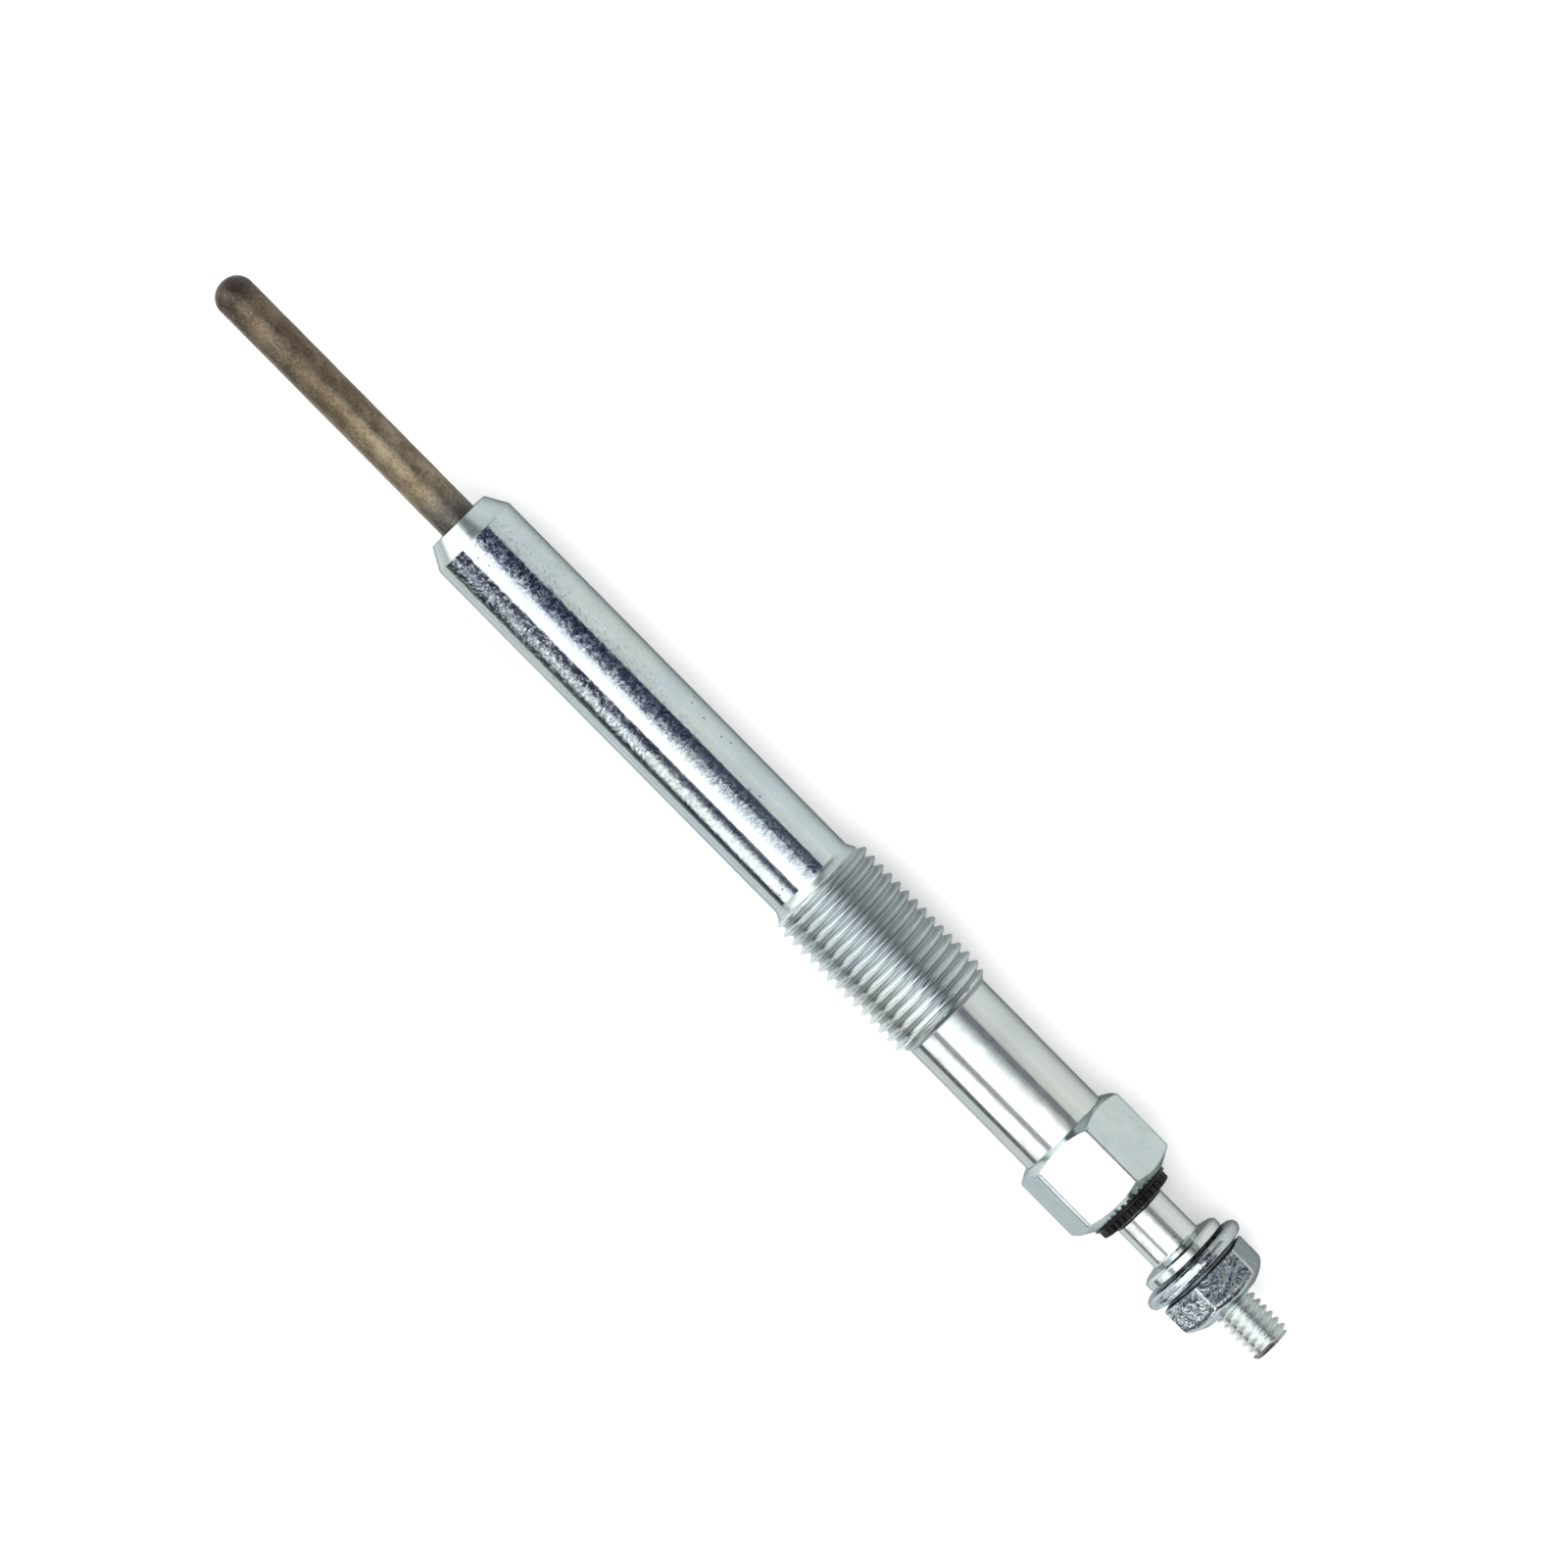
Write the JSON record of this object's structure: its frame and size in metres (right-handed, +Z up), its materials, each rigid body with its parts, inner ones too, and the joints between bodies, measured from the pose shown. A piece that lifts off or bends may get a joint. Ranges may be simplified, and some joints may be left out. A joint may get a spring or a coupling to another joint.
{
  "type": "diesel glow plug",
  "caption": "Sheathed glow plug for a diesel engine: slim heater tube, long barrel with fine thread, spanner hexagon, insulated terminal stud with flange nut.",
  "frame": {"origin": "on the surface it lies on, below the middle of its length", "axes": "+X along the plug from the glow tip to the terminal stud, +Z up, square to one flat of the spanner hexagon"},
  "size_m": [0.122, 0.0114, 0.0101],
  "materials": {
    "housing": "bright zinc plated, turned",
    "sheath_tube": "brown heat-tinted oxide",
    "insulating_bush": "moulded, ribbed edge",
    "terminal_sleeve": "bright zinc plated, polished",
    "centre_rod": "zinc plated, rolled thread",
    "flange_nut": "blue zinc plated, cold formed",
    "heating_coil": "drawn resistance wire",
    "control_coil": "drawn resistance wire",
    "magnesia_fill": "packed powder",
    "sheath_seal": "matte",
    "o_ring": "matte"
  },
  "bodies": {
    "root": {"housing": "housing", "sheath_tube": "sheath_tube", "insulating_bush": "insulating_bush", "terminal_sleeve": "terminal_sleeve", "centre_rod": "centre_rod", "flange_nut": "flange_nut", "heating_coil": "heating_coil", "control_coil": "control_coil", "magnesia_fill": "magnesia_fill", "sheath_seal": "sheath_seal", "o_ring": "o_ring"}
  },
  "joints": []
}
